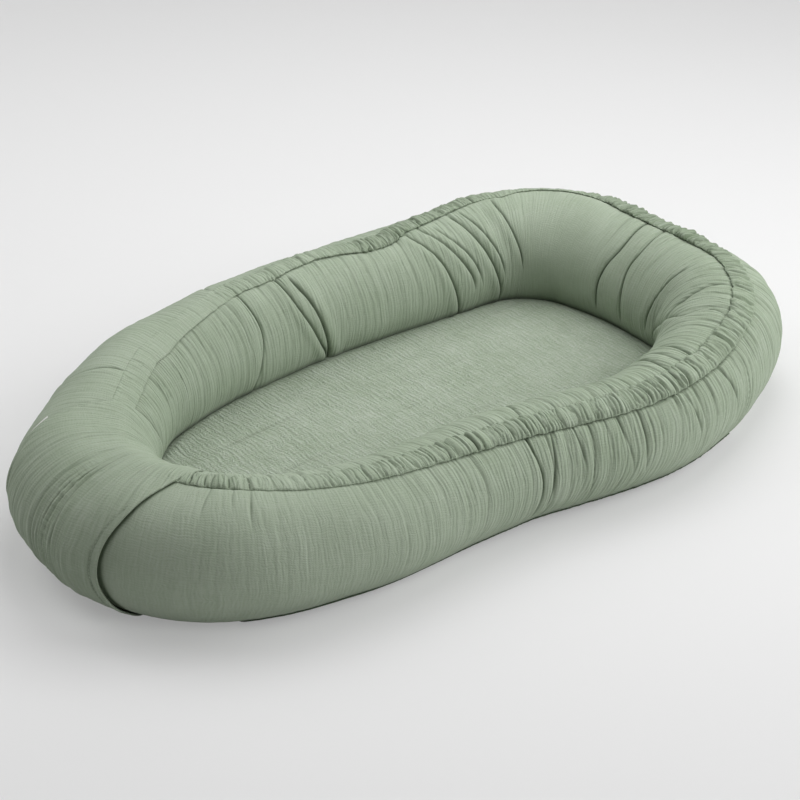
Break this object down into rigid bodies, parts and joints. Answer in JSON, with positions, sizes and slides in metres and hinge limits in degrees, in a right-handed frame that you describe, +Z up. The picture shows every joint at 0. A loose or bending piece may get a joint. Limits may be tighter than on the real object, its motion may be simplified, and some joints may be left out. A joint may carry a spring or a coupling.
{
  "type": "infant lounger",
  "caption": "Oval padded roll in crinkled double gauze round a flat sleeping pad, closed by a wide sleeve at the foot, with a ruched drawcord casing and a zip underneath.",
  "frame": {"origin": "on the floor under the middle of the lounger's bounding box", "axes": "+X along the length towards the head end, +Y to the far side, +Z up"},
  "size_m": [0.895, 0.5232, 0.143],
  "materials": {
    "muslin": "crinkled double gauze, sage green, matt",
    "backing": "plain woven cotton, darker sage green, matt",
    "fibre": "white polyester fibre",
    "cord": "braided cotton cord, natural",
    "label_cloth": "white satin tape, blank",
    "plastic": "moulded nylon, sage green",
    "spring_steel": "drawn spring wire",
    "zip_metal": "tumbled zinc alloy"
  },
  "bodies": {
    "lounger": {"roll_filling": "fibre", "outer_cover": "muslin", "inner_cover": "muslin", "roll_end_near": "backing", "roll_end_far": "backing", "drawcord_casing": "muslin", "foot_sleeve": "muslin", "side_label": "label_cloth", "drawcord": "cord", "drawcord_tip_near": "plastic", "drawcord_tip_far": "plastic", "sleeping_pad": "fibre", "sleep_panel": "muslin", "base_panel": "backing", "zip_tape_far": "backing", "zip_tape_near": "backing", "zip_teeth_far": "plastic", "zip_teeth_near": "plastic", "zip_stop_head": "plastic", "zip_stop_foot": "plastic"},
    "zip_runner": {"zip_slider": "zip_metal"},
    "zip_tab": {"zip_pull": "zip_metal"},
    "cord_lock": {"cord_lock_body": "plastic", "cord_lock_spring": "spring_steel"},
    "lock_button": {"cord_lock_button": "plastic"}
  },
  "joints": [
    {"name": "zip_slide", "type": "slide", "parent": "lounger", "child": "zip_runner", "axis": [-1, 0, 0], "range_m": [0, 0.45]},
    {"name": "zip_pull_swing", "type": "hinge", "parent": "zip_runner", "child": "zip_tab", "pos_m": [0.2182, 0, 0.0015], "axis": [0, -1, 0], "range_deg": [0, 100]},
    {"name": "cord_lock_slide", "type": "slide", "parent": "lounger", "child": "cord_lock", "axis": [-1, 0, 0], "range_m": [0, 0.012]},
    {"name": "lock_button_press", "type": "slide", "parent": "cord_lock", "child": "lock_button", "axis": [0, 0, -1], "range_m": [0, 0.003], "stiffness_N_per_m": 400, "springref_m": -0.002, "deforming": ["cord_lock_spring"]}
  ]
}
